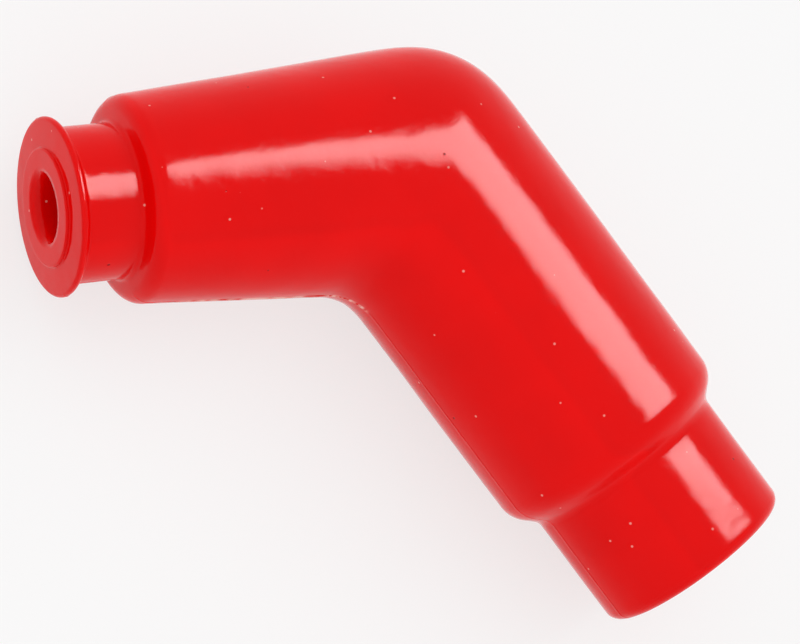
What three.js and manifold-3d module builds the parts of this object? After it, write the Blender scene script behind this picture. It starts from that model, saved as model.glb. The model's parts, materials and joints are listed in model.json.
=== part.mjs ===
// Angled spark plug cap: one moulded silicone boot with a plug arm and a cable arm, and inside it
// the contact train that carries the spark from the ignition lead to the plug's terminal.
// Millimetres, +Z up. The cap lies on its side, as it comes to rest on a bench.

import * as THREE from 'three';
import { mergeVertices } from 'three/addons/utils/BufferGeometryUtils.js';
import Module from 'manifold-3d';

const wasm = await Module();
wasm.setup();

// The bend, in the plane of the two arms
const BEND_ANGLE = 120; // degrees between the arms
const BEND_INNER_FILLET = 6.1;
const BEND_OUTER_ROUND = 12.2;

// Outside of the plug arm
const BODY_DIAMETER = 26.4;
const STEP_LENGTH = 2.25;
const STEP_FILLET = 3.2;
const SKIRT_DIAMETER = 21.9;
const SKIRT_LENGTH = 13.45;
const SKIRT_RIM_ROUND = 0.9;

// Outside of the cable arm, with the collar that the hand pulls on
const CABLE_REACH = 40.45; // from the crossing of the two axes to the end of the lip round the mouth
const CABLE_ROOT_DIAMETER = 26; // where the arm's cone would meet the plug arm's axis
const CABLE_SHOULDER_DIAMETER = 21.4;
const SHOULDER_LENGTH = 0.5;
const SHOULDER_ROUND = 2.0;
const NECK_DIAMETER = 16.1;
const NECK_LENGTH = 6.0;
const NECK_FILLET = 0.6;
const COLLAR_DIAMETER = 18.5;
const COLLAR_WIDTH = 0.85;
const COLLAR_FLANK = 0.4;
const COLLAR_BACK_ROUND = 0.5;
const COLLAR_FACE_ROUND = 0.4;
const COLLAR_FACE_FALL = 0.15; // how far the face falls back from the lip to the rim
const LIP_DIAMETER = 12.3;
const LIP_HEIGHT = 0.4;
const LIP_ROUND = 0.25;

// Bores
const LEAD_BORE_DIAMETER = 6.5; // grips a 7 mm ignition lead
const LEAD_MOUTH_DIAMETER = 7.5;
const LEAD_MOUTH_DEPTH = 1.0;
const INSULATOR_BORE_DIAMETER = 10.6;
const INSULATOR_DEPTH = 18.7; // from the skirt's end to the socket's mouth
const INSULATOR_MOUTH_DIAMETER = 13;
const INSULATOR_MOUTH_DEPTH = 1.4;
const SEAL_RIB_HEIGHT = 0.35;
const SEAL_RIB_WIDTH = 1.6;
const SEAL_RIB_PITCH = 3.4;
const SEAL_RIB_COUNT = 2;

// Contact train, from the bend to the plug's terminal
const FIT = 0.3; // clearance between a piece and its seat
const CONTACT_DIAMETER = 7.2;
const CONTACT_PLUG_REACH = 4.3;
const CONTACT_CABLE_REACH = 5.5;
const RESISTOR_LENGTH = 11;
const ROD_DIAMETER = 4.4;
const END_CAP_WALL = 0.4;
const END_CAP_FLOOR = 0.5;
const END_CAP_LENGTH = 3;
const SPRING_LENGTH = 4;
const SPRING_WIRE = 0.6;
const SPRING_TURNS = 4;
const SOCKET_DIAMETER = 8.4;
const SOCKET_WALL = 1;
const SOCKET_DEPTH = 9.5;
const SOCKET_BASE = 3;
const SOCKET_SLOT_WIDTH = 1.2;
const SOCKET_SLOT_LENGTH = 6;
const SOCKET_FLANGE_DIAMETER = 10.4;
const SOCKET_FLANGE_WIDTH = 1.2;
const SOCKET_PROUD = 5.2; // how far the socket stands out of its seat into the insulator's bore
const CLIP_WIRE = 0.8;
const CLIP_GAP = 70; // degrees left open in the ring
const CLIP_GROOVE_DEPTH = 0.5;
const CLIP_FROM_MOUTH = 3;

// Lead screw
const SCREW_HEAD_DIAMETER = 5.8;
const SCREW_HEAD_LENGTH = 1.2;
const SCREW_SPIGOT_DIAMETER = 2.4;
const SCREW_SPIGOT_LENGTH = 3.2;
const SCREW_LENGTH = 10.5; // threaded part, from the head to the point
const SCREW_CORE_DIAMETER = 2.2;
const SCREW_THREAD_HEIGHT = 0.55;
const SCREW_PITCH = 1.5;

// Fineness of the round forms
const OUTER_SIDES = 40;
const BORE_SIDES = 28;
const SMALL_SIDES = 24;
const FILLET_STEPS = 4;
const BEND_STEPS = 14;

// Places along the plug arm, measured from the crossing of the axes
const resistorStart = CONTACT_PLUG_REACH + FIT;
const resistorEnd = resistorStart + RESISTOR_LENGTH;
const springStart = resistorEnd + FIT;
const springEnd = springStart + SPRING_LENGTH;
const socketStart = springEnd + FIT;
const socketFloor = socketStart + SOCKET_BASE;
const socketMouth = socketFloor + SOCKET_DEPTH;
const plugReach = socketMouth + INSULATOR_DEPTH;
const stepEnd = plugReach - SKIRT_LENGTH;
const stepStart = stepEnd - STEP_LENGTH;

// Places along the cable arm, measured from the same crossing
const collarFace = CABLE_REACH - LIP_HEIGHT;
const collarBack = collarFace - COLLAR_WIDTH;
const neckEnd = collarBack - COLLAR_FLANK;
const neckStart = neckEnd - NECK_LENGTH;
const cableBodyEnd = neckStart - SHOULDER_LENGTH;
const screwHead = CONTACT_CABLE_REACH + FIT;

// Radii that more than one piece uses
const bodyRadius = BODY_DIAMETER / 2;
const rootRadius = CABLE_ROOT_DIAMETER / 2;
const contactRadius = CONTACT_DIAMETER / 2;
const socketRadius = SOCKET_DIAMETER / 2;
const flangeRadius = SOCKET_FLANGE_DIAMETER / 2;
const insulatorRadius = INSULATOR_BORE_DIAMETER / 2;
const leadRadius = LEAD_BORE_DIAMETER / 2;
const lipRadius = LIP_DIAMETER / 2;
const endCapRadius = ROD_DIAMETER / 2 + FIT + END_CAP_WALL;

// Directions: the plug arm runs along +X, and the cable arm turns away from it towards -Y
const bend = THREE.MathUtils.degToRad(BEND_ANGLE);
const UP = new THREE.Vector3(0, 0, 1);
const plugAxis = new THREE.Vector3(1, 0, 0);
const cableAxis = new THREE.Vector3(Math.cos(bend), -Math.sin(bend), 0);
const plugInside = new THREE.Vector3(0, -1, 0);
const cableInside = new THREE.Vector3().crossVectors(UP, cableAxis);

// A profile of [along, radius] points, with an arc at each corner that names a rounding.
// A rounding takes at most half of the shorter wall beside it.
function rounded(corners) {
  const profile = [];
  corners.forEach(([along, radius, rounding = 0], i) => {
    const corner = new THREE.Vector2(along, radius);
    if (rounding === 0) {
      profile.push(corner);
      return;
    }
    const before = new THREE.Vector2(...corners[i - 1]).sub(corner);
    const after = new THREE.Vector2(...corners[i + 1]).sub(corner);
    const room = Math.min(before.length(), after.length()) / 2;
    before.normalize();
    after.normalize();
    const half = Math.acos(THREE.MathUtils.clamp(before.dot(after), -1, 1)) / 2;
    const reach = Math.min(rounding / Math.tan(half), room);
    const arc = reach * Math.tan(half);
    const middle = before.clone().add(after).normalize();
    const centre = corner.clone().addScaledVector(middle, arc / Math.sin(half));
    const start = corner.clone().addScaledVector(before, reach).sub(centre);
    const end = corner.clone().addScaledVector(after, reach).sub(centre);
    const sweep = Math.atan2(start.cross(end), start.dot(end));
    for (let k = 0; k <= FILLET_STEPS; k++) {
      const spoke = start.clone().rotateAround(new THREE.Vector2(), (sweep * k) / FILLET_STEPS);
      profile.push(centre.clone().add(spoke));
    }
  });
  return profile;
}

// A closed geometry as a solid that can be joined and cut.
function solid(geometry) {
  const bare = geometry.clone();
  bare.deleteAttribute('normal');
  bare.deleteAttribute('uv');
  const merged = mergeVertices(bare);
  const index = merged.index.array;
  const triVerts = [];
  for (let i = 0; i < index.length; i += 3) {
    const [a, b, c] = index.slice(i, i + 3);
    if (a !== b && b !== c && c !== a) triVerts.push(a, b, c);
  }
  return new wasm.Manifold(
    new wasm.Mesh({
      numProp: 3,
      vertProperties: new Float32Array(merged.attributes.position.array),
      triVerts: new Uint32Array(triVerts),
    }),
  );
}

function geometryOf(body) {
  const mesh = body.getMesh();
  const geometry = new THREE.BufferGeometry();
  geometry.setAttribute('position', new THREE.BufferAttribute(mesh.vertProperties, 3));
  geometry.setIndex(new THREE.BufferAttribute(mesh.triVerts, 1));
  geometry.computeVertexNormals();
  return geometry;
}

// Turns a geometry that was made along +Y so that it runs along an arm.
function along(geometry, axis) {
  const turned = new THREE.Quaternion().setFromUnitVectors(new THREE.Vector3(0, 1, 0), axis);
  return geometry.applyQuaternion(turned);
}

// A round solid turned about an arm's axis from a profile of [along, radius] corners.
function turnedSolid(corners, axis, sides = SMALL_SIDES) {
  const profile = rounded(corners).map((point) => new THREE.Vector2(Math.max(point.y, 0), point.x));
  return solid(along(new THREE.LatheGeometry(profile, sides), axis));
}

// A round wire along a path.
function wire(path, diameter, steps) {
  const section = new THREE.Shape().absarc(0, 0, diameter / 2, 0, 2 * Math.PI);
  return new THREE.ExtrudeGeometry(section, { steps, extrudePath: path, curveSegments: 4 });
}

class Helix extends THREE.Curve {
  constructor(radius, pitch, turns) {
    super();
    Object.assign(this, { radius, pitch, turns });
  }

  getPoint(t, target = new THREE.Vector3()) {
    const angle = 2 * Math.PI * this.turns * t;
    const rise = this.pitch * this.turns * t;
    return target.set(this.radius * Math.cos(angle), rise, this.radius * Math.sin(angle));
  }
}

// An ellipse of points about a centre, given its two half axes.
function ring(centre, halfA, halfB) {
  return Array.from({ length: OUTER_SIDES }, (_, i) => {
    const angle = (2 * Math.PI * i) / OUTER_SIDES;
    return centre
      .clone()
      .addScaledVector(halfA, Math.cos(angle))
      .addScaledVector(halfB, Math.sin(angle));
  });
}

// Rings along a straight arm, from a profile that starts at the bend.
function armRings(profile, axis, inside) {
  return profile.map(({ x: distance, y: radius }) =>
    ring(
      axis.clone().multiplyScalar(distance),
      inside.clone().multiplyScalar(radius),
      UP.clone().multiplyScalar(radius),
    ),
  );
}

// The cable arm is a cone. This is what its radius loses for each millimetre along its axis.
const taper = (rootRadius - CABLE_SHOULDER_DIAMETER / 2) / cableBodyEnd;

// The walls as lines in the plane of the arms: all points whose share along the normal is the reach.
const wall = (normal, radius) => ({ normal: normal.clone().normalize(), reach: radius / normal.length() });
const plugInnerWall = wall(plugInside, bodyRadius);
const plugOuterWall = wall(plugInside.clone().negate(), bodyRadius);
const cableInnerWall = wall(cableInside.clone().addScaledVector(cableAxis, taper), rootRadius);
const cableOuterWall = wall(cableInside.clone().negate().addScaledVector(cableAxis, taper), rootRadius);

// The point that lies at an offset outside of both walls.
function cornerOf(wallA, wallB, offset) {
  const a = wallA.normal;
  const b = wallB.normal;
  const reachA = wallA.reach + offset;
  const reachB = wallB.reach + offset;
  const spread = a.x * b.y - a.y * b.x;
  return new THREE.Vector3((reachA * b.y - reachB * a.y) / spread, (reachB * a.x - reachA * b.x) / spread, 0);
}

const filletCentre = cornerOf(plugInnerWall, cableInnerWall, BEND_INNER_FILLET);
const arcCentre = cornerOf(plugOuterWall, cableOuterWall, -BEND_OUTER_ROUND);
const plugStart = filletCentre.dot(plugAxis);
const cableStart = filletCentre.clone().addScaledVector(cableInnerWall.normal, -BEND_INNER_FILLET).dot(cableAxis);

// How far a ray from the fillet's centre runs to the outside: to the nearer arm's wall, or to the arc
// that rounds the corner where the two walls meet.
function outerReach(outward) {
  const fromArc = filletCentre.clone().sub(arcCentre);
  const near = fromArc.dot(outward);
  const toArc = -near + Math.sqrt(Math.max(near ** 2 - fromArc.lengthSq() + BEND_OUTER_ROUND ** 2, 0));
  const spoke = fromArc.clone().addScaledVector(outward, toArc);
  const pastPlug = spoke.dot(plugAxis) > 0;
  const pastCable = spoke.dot(new THREE.Vector3().crossVectors(UP, cableOuterWall.normal)) > 0;
  if (!pastPlug && !pastCable) return toArc;
  const toWall = (side) => (side.reach - filletCentre.dot(side.normal)) / outward.dot(side.normal);
  return Math.min(toWall(plugOuterWall), toWall(cableOuterWall));
}

// Where a ray from the fillet's centre crosses the arms' axes, and the radius of the arm there.
function crestOf(outward) {
  const onAxis = (inside) =>
    filletCentre.clone().addScaledVector(outward, -filletCentre.dot(inside) / outward.dot(inside));
  const onPlug = onAxis(plugInside);
  const distance = onPlug.dot(plugAxis);
  if (distance > 0) {
    const radius = THREE.MathUtils.lerp(rootRadius, bodyRadius, THREE.MathUtils.smoothstep(distance, 0, plugStart));
    return { crest: onPlug, radius };
  }
  const onCable = onAxis(cableInside);
  return { crest: onCable, radius: rootRadius - taper * onCable.dot(cableAxis) };
}

// The bend's sections lie in planes that turn about the centre of the inner fillet. Each is made of
// two half ellipses that meet above and below the arm's axis.
function bendRings() {
  const first = cableInnerWall.normal.clone().negate();
  const last = plugOuterWall.normal;
  const sweep = Math.atan2(new THREE.Vector3().crossVectors(first, last).z, first.dot(last));
  const rings = [];
  for (let k = 1; k < BEND_STEPS; k++) {
    const outward = first.clone().applyAxisAngle(UP, (sweep * k) / BEND_STEPS);
    const inner = filletCentre.clone().addScaledVector(outward, BEND_INNER_FILLET);
    const outer = filletCentre.clone().addScaledVector(outward, outerReach(outward));
    const { crest, radius } = crestOf(outward);
    const half = (edge) => ring(crest, edge.clone().sub(crest), UP.clone().multiplyScalar(radius));
    const innerHalf = half(inner);
    const outerHalf = half(crest.clone().multiplyScalar(2).sub(outer));
    rings.push(innerHalf.map((point, i) => (Math.cos((2 * Math.PI * i) / OUTER_SIDES) > 0 ? point : outerHalf[i])));
  }
  return rings;
}

// A closed skin over a row of rings, with a fan over each end.
function loft(rings) {
  const sides = rings[0].length;
  const points = rings.flat();
  const index = [];
  for (let r = 0; r + 1 < rings.length; r++) {
    for (let i = 0; i < sides; i++) {
      const a = r * sides + i;
      const b = r * sides + ((i + 1) % sides);
      index.push(a, b, a + sides, b, b + sides, a + sides);
    }
  }
  const middleOf = (ends) => ends.reduce((sum, p) => sum.add(p), new THREE.Vector3()).divideScalar(sides);
  const first = points.push(middleOf(rings[0])) - 1;
  const last = points.push(middleOf(rings.at(-1))) - 1;
  const lastRing = (rings.length - 1) * sides;
  for (let i = 0; i < sides; i++) {
    const next = (i + 1) % sides;
    index.push(first, next, i);
    index.push(last, lastRing + i, lastRing + next);
  }
  const geometry = new THREE.BufferGeometry().setFromPoints(points);
  geometry.setIndex(index);
  return geometry;
}

function plugArmRings() {
  const profile = rounded([
    [plugStart, bodyRadius],
    [stepStart, bodyRadius, STEP_FILLET],
    [stepEnd, SKIRT_DIAMETER / 2, STEP_FILLET],
    [plugReach, SKIRT_DIAMETER / 2, SKIRT_RIM_ROUND],
    [plugReach, insulatorRadius],
  ]);
  return armRings(profile, plugAxis, plugInside);
}

function cableArmRings() {
  const profile = rounded([
    [cableStart, rootRadius - taper * cableStart],
    [cableBodyEnd, CABLE_SHOULDER_DIAMETER / 2, SHOULDER_ROUND],
    [neckStart, NECK_DIAMETER / 2, NECK_FILLET],
    [neckEnd, NECK_DIAMETER / 2, COLLAR_BACK_ROUND],
    [collarBack, COLLAR_DIAMETER / 2, COLLAR_BACK_ROUND],
    [collarFace - COLLAR_FACE_FALL, COLLAR_DIAMETER / 2, COLLAR_FACE_ROUND],
    [collarFace, lipRadius],
    [CABLE_REACH, lipRadius, LIP_ROUND],
    [CABLE_REACH, leadRadius],
  ]);
  return armRings(profile, cableAxis, cableInside);
}

// Corners of the low sealing ribs in a bore, from the first one's middle towards the mouth.
function sealRibs(firstMiddle, boreRadius) {
  return Array.from({ length: SEAL_RIB_COUNT }, (_, i) => {
    const middle = firstMiddle + i * SEAL_RIB_PITCH;
    return [
      [middle - SEAL_RIB_WIDTH / 2, boreRadius],
      [middle, boreRadius - SEAL_RIB_HEIGHT],
      [middle + SEAL_RIB_WIDTH / 2, boreRadius],
    ];
  }).flat();
}

// The hollow of the plug arm: the resistor and spring's chamber, the socket's seat with the groove
// for its flange, and the bore that seals on the plug's insulator.
function plugHollow() {
  const chamberRadius = endCapRadius + FIT;
  const seatEnd = socketMouth - SOCKET_PROUD;
  const flangeStart = socketFloor - FIT;
  const firstRib = plugReach - INSULATOR_MOUTH_DEPTH - (SEAL_RIB_COUNT + 0.5) * SEAL_RIB_PITCH;
  const past = plugReach + FIT;
  return turnedSolid(
    [
      [0, 0],
      [0, chamberRadius],
      [springEnd, chamberRadius],
      [springEnd, socketRadius + FIT],
      [flangeStart, socketRadius + FIT],
      [flangeStart, flangeRadius + FIT],
      [flangeStart + SOCKET_FLANGE_WIDTH + 2 * FIT, flangeRadius + FIT],
      [flangeStart + SOCKET_FLANGE_WIDTH + 2 * FIT, socketRadius + FIT],
      [seatEnd, socketRadius + FIT],
      [seatEnd, insulatorRadius],
      ...sealRibs(firstRib, insulatorRadius),
      [plugReach - INSULATOR_MOUTH_DEPTH, insulatorRadius],
      [plugReach, INSULATOR_MOUTH_DIAMETER / 2],
      [past, INSULATOR_MOUTH_DIAMETER / 2],
      [past, 0],
    ],
    plugAxis,
    BORE_SIDES,
  );
}

// The hollow of the cable arm: the lead's bore and its flared mouth.
function cableHollow() {
  const mouthRadius = LEAD_MOUTH_DIAMETER / 2;
  const past = CABLE_REACH + FIT;
  return turnedSolid(
    [
      [0, 0],
      [0, leadRadius],
      [CABLE_REACH - LEAD_MOUTH_DEPTH, leadRadius],
      [CABLE_REACH, mouthRadius],
      [past, mouthRadius],
      [past, 0],
    ],
    cableAxis,
    BORE_SIDES,
  );
}

// The elbow that joins both arms' contacts, made larger all round by a clearance.
function contactBody(clearance) {
  const radius = contactRadius + clearance;
  const arm = (reach, axis) =>
    turnedSolid(
      [
        [0, 0],
        [0, radius],
        [reach + clearance, radius],
        [reach + clearance, 0],
      ],
      axis,
    );
  const knuckle = solid(new THREE.SphereGeometry(radius, SMALL_SIDES, SMALL_SIDES / 2).rotateX(Math.PI / 2));
  return knuckle.add(arm(CONTACT_PLUG_REACH, plugAxis)).add(arm(CONTACT_CABLE_REACH, cableAxis));
}

// From the skirt round the bend to the collar.
const outline = [...plugArmRings().reverse(), ...bendRings().reverse(), ...cableArmRings()];

function boot() {
  const body = solid(loft(outline));
  return body.subtract(plugHollow()).subtract(cableHollow()).subtract(contactBody(FIT));
}

// Brass elbow at the bend, bored for the lead screw's spigot.
function elbowContact() {
  const depth = SCREW_SPIGOT_LENGTH + FIT;
  const hole = SCREW_SPIGOT_DIAMETER / 2 + FIT;
  const bore = turnedSolid(
    [
      [screwHead - depth, 0],
      [screwHead - depth, hole],
      [screwHead + FIT, hole],
      [screwHead + FIT, 0],
    ],
    cableAxis,
  );
  return contactBody(0).subtract(bore);
}

// Pointed screw that bites into the lead's core: a coarse thread runs down a tapering core.
function leadScrew() {
  const head = turnedSolid(
    [
      [screwHead - SCREW_SPIGOT_LENGTH, 0],
      [screwHead - SCREW_SPIGOT_LENGTH, SCREW_SPIGOT_DIAMETER / 2],
      [screwHead, SCREW_SPIGOT_DIAMETER / 2],
      [screwHead, SCREW_HEAD_DIAMETER / 2],
      [screwHead + SCREW_HEAD_LENGTH, SCREW_HEAD_DIAMETER / 2],
      [screwHead + SCREW_HEAD_LENGTH, 0],
    ],
    cableAxis,
  );
  const rowsPerTurn = 8;
  const rows = Math.round((rowsPerTurn * SCREW_LENGTH) / SCREW_PITCH);
  const start = screwHead + SCREW_HEAD_LENGTH / 2;
  const sides = SMALL_SIDES / 2;
  const rings = [];
  for (let row = 0; row <= rows; row++) {
    const share = row / rows;
    const slimming = Math.sqrt(1 - 0.98 * share);
    const crest = Math.min(1, 4 * (1 - share));
    rings.push(
      Array.from({ length: sides }, (_, i) => {
        const lead = row / rowsPerTurn - i / sides;
        const ridge = Math.max(0, 1 - 3 * Math.abs(lead - Math.round(lead)));
        const radius = slimming * (SCREW_CORE_DIAMETER / 2 + crest * ridge * SCREW_THREAD_HEIGHT);
        const angle = (2 * Math.PI * i) / sides;
        const height = start + share * (SCREW_LENGTH + SCREW_HEAD_LENGTH / 2);
        return new THREE.Vector3(radius * Math.cos(angle), height, -radius * Math.sin(angle));
      }),
    );
  }
  return head.add(solid(along(loft(rings), cableAxis)));
}

// Ceramic rod of the suppressor resistor.
function resistorRod() {
  const inset = END_CAP_FLOOR + FIT;
  return turnedSolid(
    [
      [resistorStart + inset, 0],
      [resistorStart + inset, ROD_DIAMETER / 2],
      [resistorEnd - inset, ROD_DIAMETER / 2],
      [resistorEnd - inset, 0],
    ],
    plugAxis,
  );
}

// Metal cup on one end of the rod. The facing is +1 where the cup opens towards the plug.
function resistorEndCap(base, facing) {
  const inner = ROD_DIAMETER / 2 + FIT;
  const corners = [
    [base, 0],
    [base, endCapRadius],
    [base + facing * END_CAP_LENGTH, endCapRadius],
    [base + facing * END_CAP_LENGTH, inner],
    [base + facing * END_CAP_FLOOR, inner],
    [base + facing * END_CAP_FLOOR, 0],
  ];
  return turnedSolid(facing > 0 ? corners : corners.reverse(), plugAxis);
}

// Spring that presses the resistor against the elbow.
function contactSpring() {
  const coilRadius = endCapRadius - SPRING_WIRE / 2;
  const pitch = (SPRING_LENGTH - SPRING_WIRE) / SPRING_TURNS;
  const coil = wire(new Helix(coilRadius, pitch, SPRING_TURNS), SPRING_WIRE, SPRING_TURNS * 14);
  coil.translate(0, springStart + SPRING_WIRE / 2, 0);
  return solid(along(coil, plugAxis));
}

const clipMiddle = socketMouth - CLIP_FROM_MOUTH;
const clipRadius = socketRadius - CLIP_GROOVE_DEPTH + FIT + CLIP_WIRE / 2;

// Brass socket that snaps on the plug's terminal: a blind bore with a rounded mouth, a flange
// that locks it in the boot, a groove for the wire clip, and two slots that let its wall spring.
function plugTerminal() {
  const bore = socketRadius - SOCKET_WALL;
  const groove = socketRadius - CLIP_GROOVE_DEPTH;
  const grooveHalf = CLIP_WIRE / 2 + FIT;
  const body = turnedSolid(
    [
      [socketStart, 0],
      [socketStart, socketRadius],
      [socketFloor, socketRadius],
      [socketFloor, flangeRadius],
      [socketFloor + SOCKET_FLANGE_WIDTH, flangeRadius],
      [socketFloor + SOCKET_FLANGE_WIDTH, socketRadius],
      [clipMiddle - grooveHalf, socketRadius],
      [clipMiddle - grooveHalf, groove],
      [clipMiddle + grooveHalf, groove],
      [clipMiddle + grooveHalf, socketRadius],
      [socketMouth, socketRadius, SOCKET_WALL / 3],
      [socketMouth, bore, SOCKET_WALL / 3],
      [socketFloor, bore],
      [socketFloor, 0],
    ],
    plugAxis,
  );
  const slot = new THREE.BoxGeometry(SOCKET_SLOT_LENGTH + FIT, SOCKET_DIAMETER + 2 * FIT, SOCKET_SLOT_WIDTH);
  slot.translate(socketMouth - (SOCKET_SLOT_LENGTH - FIT) / 2, 0, 0);
  return body.subtract(solid(slot));
}

// Spring wire ring round the socket, which closes it on the plug's terminal.
function terminalClip() {
  const arc = new Helix(clipRadius, 0, 1 - CLIP_GAP / 360);
  const clip = wire(arc, CLIP_WIRE, OUTER_SIDES);
  clip.rotateY(Math.PI - THREE.MathUtils.degToRad(CLIP_GAP / 2));
  clip.translate(0, clipMiddle, 0);
  return solid(along(clip, plugAxis));
}

// The cap rolls about its plug arm until the cable arm's shoulder touches the bench.
function restingRoll() {
  const depth = (rings, roll) =>
    Math.max(...rings.flat().map((p) => -(p.y * Math.sin(roll) + p.z * Math.cos(roll))));
  const cable = cableArmRings();
  const plug = plugArmRings();
  let low = 0;
  let high = Math.PI / 6;
  for (let i = 0; i < 40; i++) {
    const middle = (low + high) / 2;
    if (depth(cable, middle) < depth(plug, middle)) low = middle;
    else high = middle;
  }
  return (low + high) / 2;
}

const silicone = new THREE.MeshStandardMaterial({ color: 0xe60000, roughness: 0.22, metalness: 0 });
const brass = new THREE.MeshStandardMaterial({ color: 0xc9a14a, roughness: 0.35, metalness: 1 });
const steel = new THREE.MeshStandardMaterial({ color: 0xb9bcc0, roughness: 0.3, metalness: 1 });
const ceramic = new THREE.MeshStandardMaterial({ color: 0xe8e2d4, roughness: 0.6, metalness: 0 });

const cap = new THREE.Group();

function place(name, body, material) {
  const mesh = new THREE.Mesh(geometryOf(body), material);
  mesh.name = name;
  cap.add(mesh);
}

place('boot', boot(), silicone);
place('plug_terminal', plugTerminal(), brass);
place('terminal_clip', terminalClip(), steel);
place('contact_spring', contactSpring(), steel);
place('resistor_rod', resistorRod(), ceramic);
place('resistor_cap_rear', resistorEndCap(resistorStart, 1), steel);
place('resistor_cap_front', resistorEndCap(resistorEnd, -1), steel);
place('elbow_contact', elbowContact(), brass);
place('lead_screw', leadScrew(), brass);

// At rest on the bench, with the origin under the middle of the cap's box.
cap.rotation.x = restingRoll();
const box = new THREE.Box3().setFromObject(cap, true);
const foot = box.getCenter(new THREE.Vector3()).setZ(box.min.z);
cap.position.sub(foot);

const part = new THREE.Group();
part.add(cap);

export default part;
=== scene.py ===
"""Glossy red silicone spark plug cap with its contacts inside, on a white studio floor.

Sizes are millimetres in the cap's own frame. Its origin is where the axes of the two arms cross, +X
runs along the plug arm, the cable arm turns away towards -Y, and +Z stands on the plane of the arms.
"""
import json
import math

import bmesh
import bpy
import numpy as np
from mathutils import Matrix, Vector, noise

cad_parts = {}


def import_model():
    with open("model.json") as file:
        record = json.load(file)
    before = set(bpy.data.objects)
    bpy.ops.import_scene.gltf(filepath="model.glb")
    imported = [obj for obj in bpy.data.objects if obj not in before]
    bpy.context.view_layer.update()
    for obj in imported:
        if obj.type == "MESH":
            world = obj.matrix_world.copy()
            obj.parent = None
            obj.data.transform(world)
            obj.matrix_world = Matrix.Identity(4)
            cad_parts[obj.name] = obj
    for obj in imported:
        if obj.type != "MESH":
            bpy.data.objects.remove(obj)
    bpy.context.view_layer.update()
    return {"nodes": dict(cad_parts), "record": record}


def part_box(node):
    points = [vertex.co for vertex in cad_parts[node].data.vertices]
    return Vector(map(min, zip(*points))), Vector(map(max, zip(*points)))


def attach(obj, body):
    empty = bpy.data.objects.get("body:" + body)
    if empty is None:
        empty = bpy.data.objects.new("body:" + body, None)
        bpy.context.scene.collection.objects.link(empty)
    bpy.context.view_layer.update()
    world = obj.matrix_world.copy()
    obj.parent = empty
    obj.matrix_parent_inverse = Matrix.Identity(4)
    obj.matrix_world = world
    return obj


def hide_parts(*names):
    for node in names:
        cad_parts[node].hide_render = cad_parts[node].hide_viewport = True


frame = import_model()

MM = 0.001
SAME_PLACE = 1e-6

# Places of a Mix node's share, its two colours and its result among its sockets
MIX_SHARE = 0
MIX_COLOUR_A = 6
MIX_COLOUR_B = 7
MIX_RESULT = 2

# Outside of the boot, as the frame holds it
BEND_ANGLE = 120
BEND_INNER_FILLET = 6.1
BEND_OUTER_ROUND = 12.2
BODY_DIAMETER = 26.4
STEP_LENGTH = 2.25
STEP_FILLET = 3.2
SKIRT_FILLET = 1.6
SKIRT_DIAMETER = 21.9
SKIRT_LENGTH = 13.45
SKIRT_RIM_ROUND = 1.3
PLUG_REACH = 51.4
CABLE_REACH = 40.45
CABLE_ROOT_DIAMETER = 26
CABLE_SHOULDER_DIAMETER = 21.4
SHOULDER_LENGTH = 0.5
SHOULDER_ROUND = 2.0
NECK_DIAMETER = 16.1
NECK_LENGTH = 6.0
NECK_FILLET = 0.6
COLLAR_DIAMETER = 18.5
COLLAR_WIDTH = 0.85
COLLAR_FLANK = 0.4
COLLAR_BACK_ROUND = 0.5
COLLAR_FACE_ROUND = 0.4
COLLAR_FACE_FALL = 0.15
LIP_DIAMETER = 12.3
LIP_HEIGHT = 0.4
LIP_ROUND = 0.25
LIP_FOOT_ROUND = 0.15

# Bores of the boot
LEAD_BORE_DIAMETER = 6.5
LEAD_MOUTH_DIAMETER = 7.5
LEAD_MOUTH_DEPTH = 1.0
LEAD_MOUTH_EDGE = 0.1
LEAD_MOUTH_ROUND = 1.0
INSULATOR_BORE_DIAMETER = 10.6
INSULATOR_MOUTH_DIAMETER = 13
INSULATOR_MOUTH_DEPTH = 1.4
INSULATOR_MOUTH_EDGE = 0.1
INSULATOR_MOUTH_ROUND = 1.0
INSULATOR_MOUTH_EDGE_ROUND = 0.5
INSULATOR_SEAT_ROUND = 0.3
SEAL_RIB_HEIGHT = 0.35
SEAL_RIB_WIDTH = 1.6
SEAL_RIB_PITCH = 3.4
SEAL_RIB_COUNT = 2
SEAL_RIB_FOOT_ROUND = 0.4
SEAL_RIB_ROUND = 0.8

# Contact train
FIT = 0.3
CONTACT_DIAMETER = 7.2
CONTACT_PLUG_REACH = 4.3
CONTACT_CABLE_REACH = 5.5
RESISTOR_LENGTH = 11
ROD_DIAMETER = 4.4
END_CAP_WALL = 0.4
SPRING_LENGTH = 4
SOCKET_DIAMETER = 8.4
SOCKET_WALL = 1
SOCKET_DEPTH = 9.5
SOCKET_BASE = 3
SOCKET_SLOT_WIDTH = 1.2
SOCKET_SLOT_LENGTH = 6
SOCKET_FLANGE_DIAMETER = 10.4
SOCKET_FLANGE_WIDTH = 1.2
SOCKET_PROUD = 5.2
SOCKET_EDGE_ROUND = 0.15
SOCKET_BACK_CHAMFER = 0.3
SOCKET_FLOOR_ROUND = 0.5
CLIP_WIRE = 0.8
CLIP_GAP = 70  # degrees
CLIP_GROOVE_DEPTH = 0.5
CLIP_FROM_MOUTH = 3
SCREW_HEAD_DIAMETER = 5.8
SCREW_HEAD_LENGTH = 1.2
SCREW_HEAD_ROUND = 0.25
SCREW_SPIGOT_DIAMETER = 2.4
SCREW_SPIGOT_LENGTH = 3.2
SCREW_LENGTH = 10.5
SCREW_CORE_DIAMETER = 2.2
SCREW_THREAD_HEIGHT = 0.55
SCREW_THREAD_SLOPE = 3.2
SCREW_THREAD_CREST = 1.15
SCREW_THREAD_FADE = 4
SCREW_POINT_SLIMMING = 0.98
SCREW_SPIGOT_CHAMFER = 0.2
SCREW_PITCH = 1.5
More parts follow.
